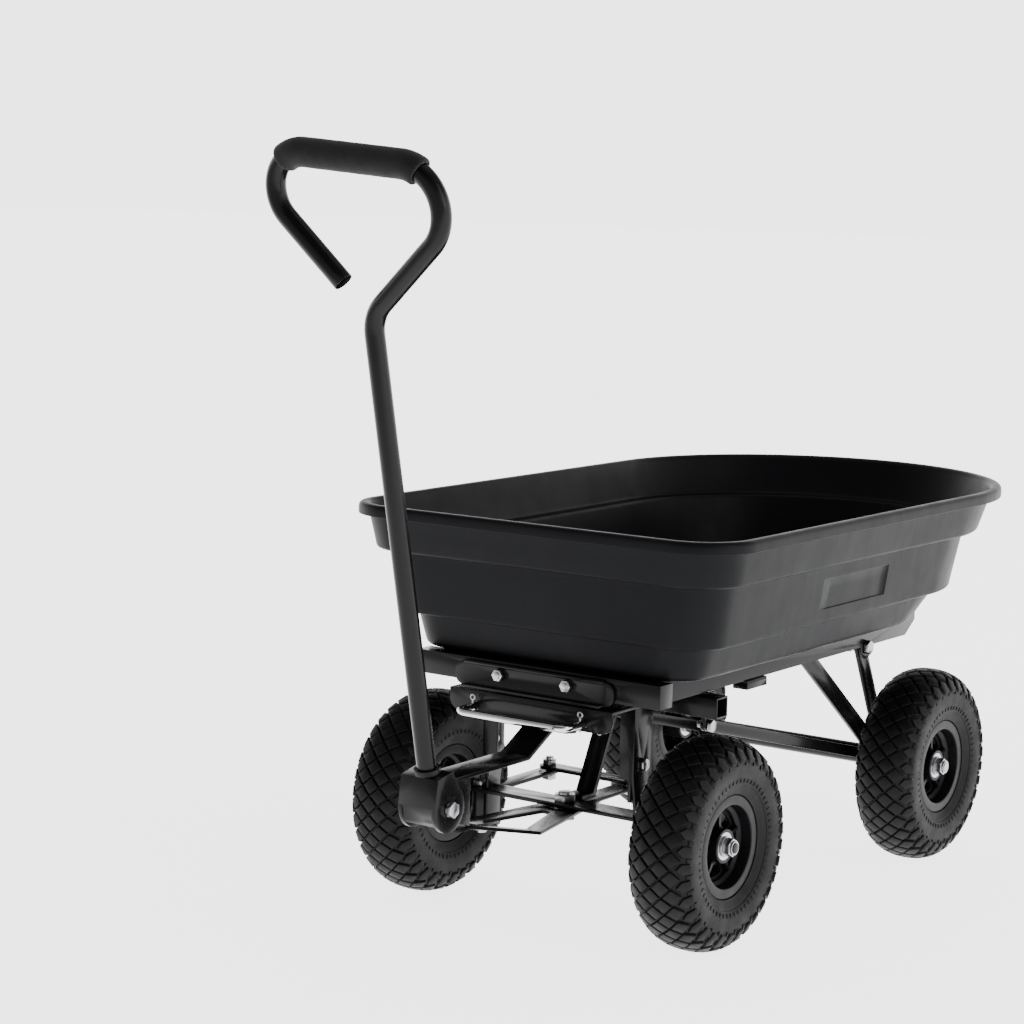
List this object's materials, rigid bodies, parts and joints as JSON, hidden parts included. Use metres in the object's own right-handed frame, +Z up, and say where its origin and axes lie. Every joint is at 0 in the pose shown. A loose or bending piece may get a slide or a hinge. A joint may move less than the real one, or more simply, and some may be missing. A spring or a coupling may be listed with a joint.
{
  "type": "tipping garden cart",
  "caption": "Pull cart with a deep stepped plastic tray that tips rearward on a steel underframe, steered through a folding D-handle, on air-filled wheels.",
  "frame": {"origin": "on the ground under the middle of the overall footprint", "axes": "+Z up, -Y towards the pull handle, +Y towards the rounded tipping end, X across the cart"},
  "size_m": [0.544, 1.2254, 0.9147],
  "materials": {
    "tray_plastic": "moulded polypropylene, satin, fine grain",
    "frame_black": "gloss black powder coat",
    "zinc": "bright zinc plate",
    "axle_steel": "drawn steel",
    "bearing_steel": "ground steel",
    "chrome_bar": "bright chrome",
    "tyre_rubber": "matte rubber, block tread",
    "tube_rubber": "matte butyl rubber",
    "rim_black": "semi-gloss moulded",
    "pad_rubber": "matte",
    "grip_foam": "matte closed-cell foam"
  },
  "bodies": {
    "chassis": {"front_deck": "frame_black", "front_cross_tube": "frame_black", "side_member_left": "frame_black", "side_member_right": "frame_black", "rest_pads": "pad_rubber", "long_bar_left": "frame_black", "long_bar_right": "frame_black", "brace_left": "frame_black", "brace_right": "frame_black", "upright_left": "frame_black", "upright_right": "frame_black", "rear_axle": "axle_steel", "rear_axle_tube": "frame_black", "rear_axle_nuts": "zinc", "tray_pivot_bolts": "zinc", "front_leg_left": "frame_black", "front_leg_right": "frame_black", "lower_cross_bar": "frame_black", "kingpins": "zinc", "knuckle_pins": "zinc", "frame_bolts": "zinc"},
    "tray": {"tray_shell": "tray_plastic", "tray_bolts": "zinc", "tray_rail_left": "frame_black", "tray_rail_right": "frame_black", "tray_front_rail": "frame_black", "latch_plate": "frame_black", "latch_bolts": "zinc"},
    "release": {"release_bar": "chrome_bar", "release_springs": "zinc", "hairpin_clips": "zinc"},
    "tongue": {"tongue_top_bar": "frame_black", "tongue_lower_plate": "frame_black", "tongue_cheeks": "frame_black", "handle_pivot_bolt": "zinc"},
    "knuckle_left": {"knuckle_left": "frame_black", "front_nuts_left": "zinc"},
    "knuckle_right": {"knuckle_right": "frame_black", "front_nuts_right": "zinc"},
    "tie": {"tie_bar": "frame_black", "tie_bar_bolts": "zinc"},
    "handle": {"handle_tube": "frame_black", "foam_grip": "grip_foam", "handle_fork": "frame_black"},
    "wheel_front_left": {"tyre_front_left": "tyre_rubber", "inner_tube_front_left": "tube_rubber", "rim_front_left": "rim_black", "bearings_front_left": "bearing_steel"},
    "wheel_front_right": {"tyre_front_right": "tyre_rubber", "inner_tube_front_right": "tube_rubber", "rim_front_right": "rim_black", "bearings_front_right": "bearing_steel"},
    "wheel_rear_left": {"tyre_rear_left": "tyre_rubber", "inner_tube_rear_left": "tube_rubber", "rim_rear_left": "rim_black", "bearings_rear_left": "bearing_steel"},
    "wheel_rear_right": {"tyre_rear_right": "tyre_rubber", "inner_tube_rear_right": "tube_rubber", "rim_rear_right": "rim_black", "bearings_rear_right": "bearing_steel"}
  },
  "joints": [
    {"name": "tray_tip", "type": "hinge", "parent": "chassis", "child": "tray", "pos_m": [0, 0.27175, 0.284], "axis": [-1, 0, 0], "range_deg": [0, 40]},
    {"name": "release_pull", "type": "slide", "parent": "chassis", "child": "release", "axis": [0, -1, 0], "range_m": [0, 0.014], "stiffness_N_per_m": 600, "springref_m": -0.01, "deforming": ["release_springs"]},
    {"name": "steering", "type": "hinge", "parent": "chassis", "child": "tongue", "pos_m": [0, -0.18325, 0.14], "axis": [0, 0, 1], "range_deg": [-30, 30]},
    {"name": "knuckle_left_turn", "type": "hinge", "parent": "chassis", "child": "knuckle_left", "pos_m": [-0.122, -0.18325, 0.12], "axis": [0, 0, 1], "range_deg": [-30, 30]},
    {"name": "knuckle_right_turn", "type": "hinge", "parent": "chassis", "child": "knuckle_right", "pos_m": [0.122, -0.18325, 0.12], "axis": [0, 0, 1], "range_deg": [-30, 30]},
    {"name": "tie_bar_turn", "type": "hinge", "parent": "tongue", "child": "tie", "pos_m": [0, -0.04025, 0.138], "axis": [0, 0, 1], "range_deg": [-30, 30]},
    {"name": "handle_fold", "type": "hinge", "parent": "tongue", "child": "handle", "pos_m": [0, -0.44525, 0.186], "axis": [1, 0, 0], "range_deg": [-20, 88]},
    {"name": "wheel_front_left_spin", "type": "hinge", "parent": "knuckle_left", "child": "wheel_front_left", "pos_m": [-0.1985, -0.18325, 0.125], "axis": [1, 0, 0], "continuous": true},
    {"name": "wheel_front_right_spin", "type": "hinge", "parent": "knuckle_right", "child": "wheel_front_right", "pos_m": [0.1985, -0.18325, 0.125], "axis": [1, 0, 0], "continuous": true},
    {"name": "wheel_rear_left_spin", "type": "hinge", "parent": "chassis", "child": "wheel_rear_left", "pos_m": [-0.1985, 0.34875, 0.125], "axis": [1, 0, 0], "continuous": true},
    {"name": "wheel_rear_right_spin", "type": "hinge", "parent": "chassis", "child": "wheel_rear_right", "pos_m": [0.1985, 0.34875, 0.125], "axis": [1, 0, 0], "continuous": true}
  ],
  "couplings": [
    {"joint": "knuckle_left_turn", "follows": "steering", "ratio": 1},
    {"joint": "knuckle_right_turn", "follows": "steering", "ratio": 1},
    {"joint": "tie_bar_turn", "follows": "steering", "ratio": -1}
  ]
}
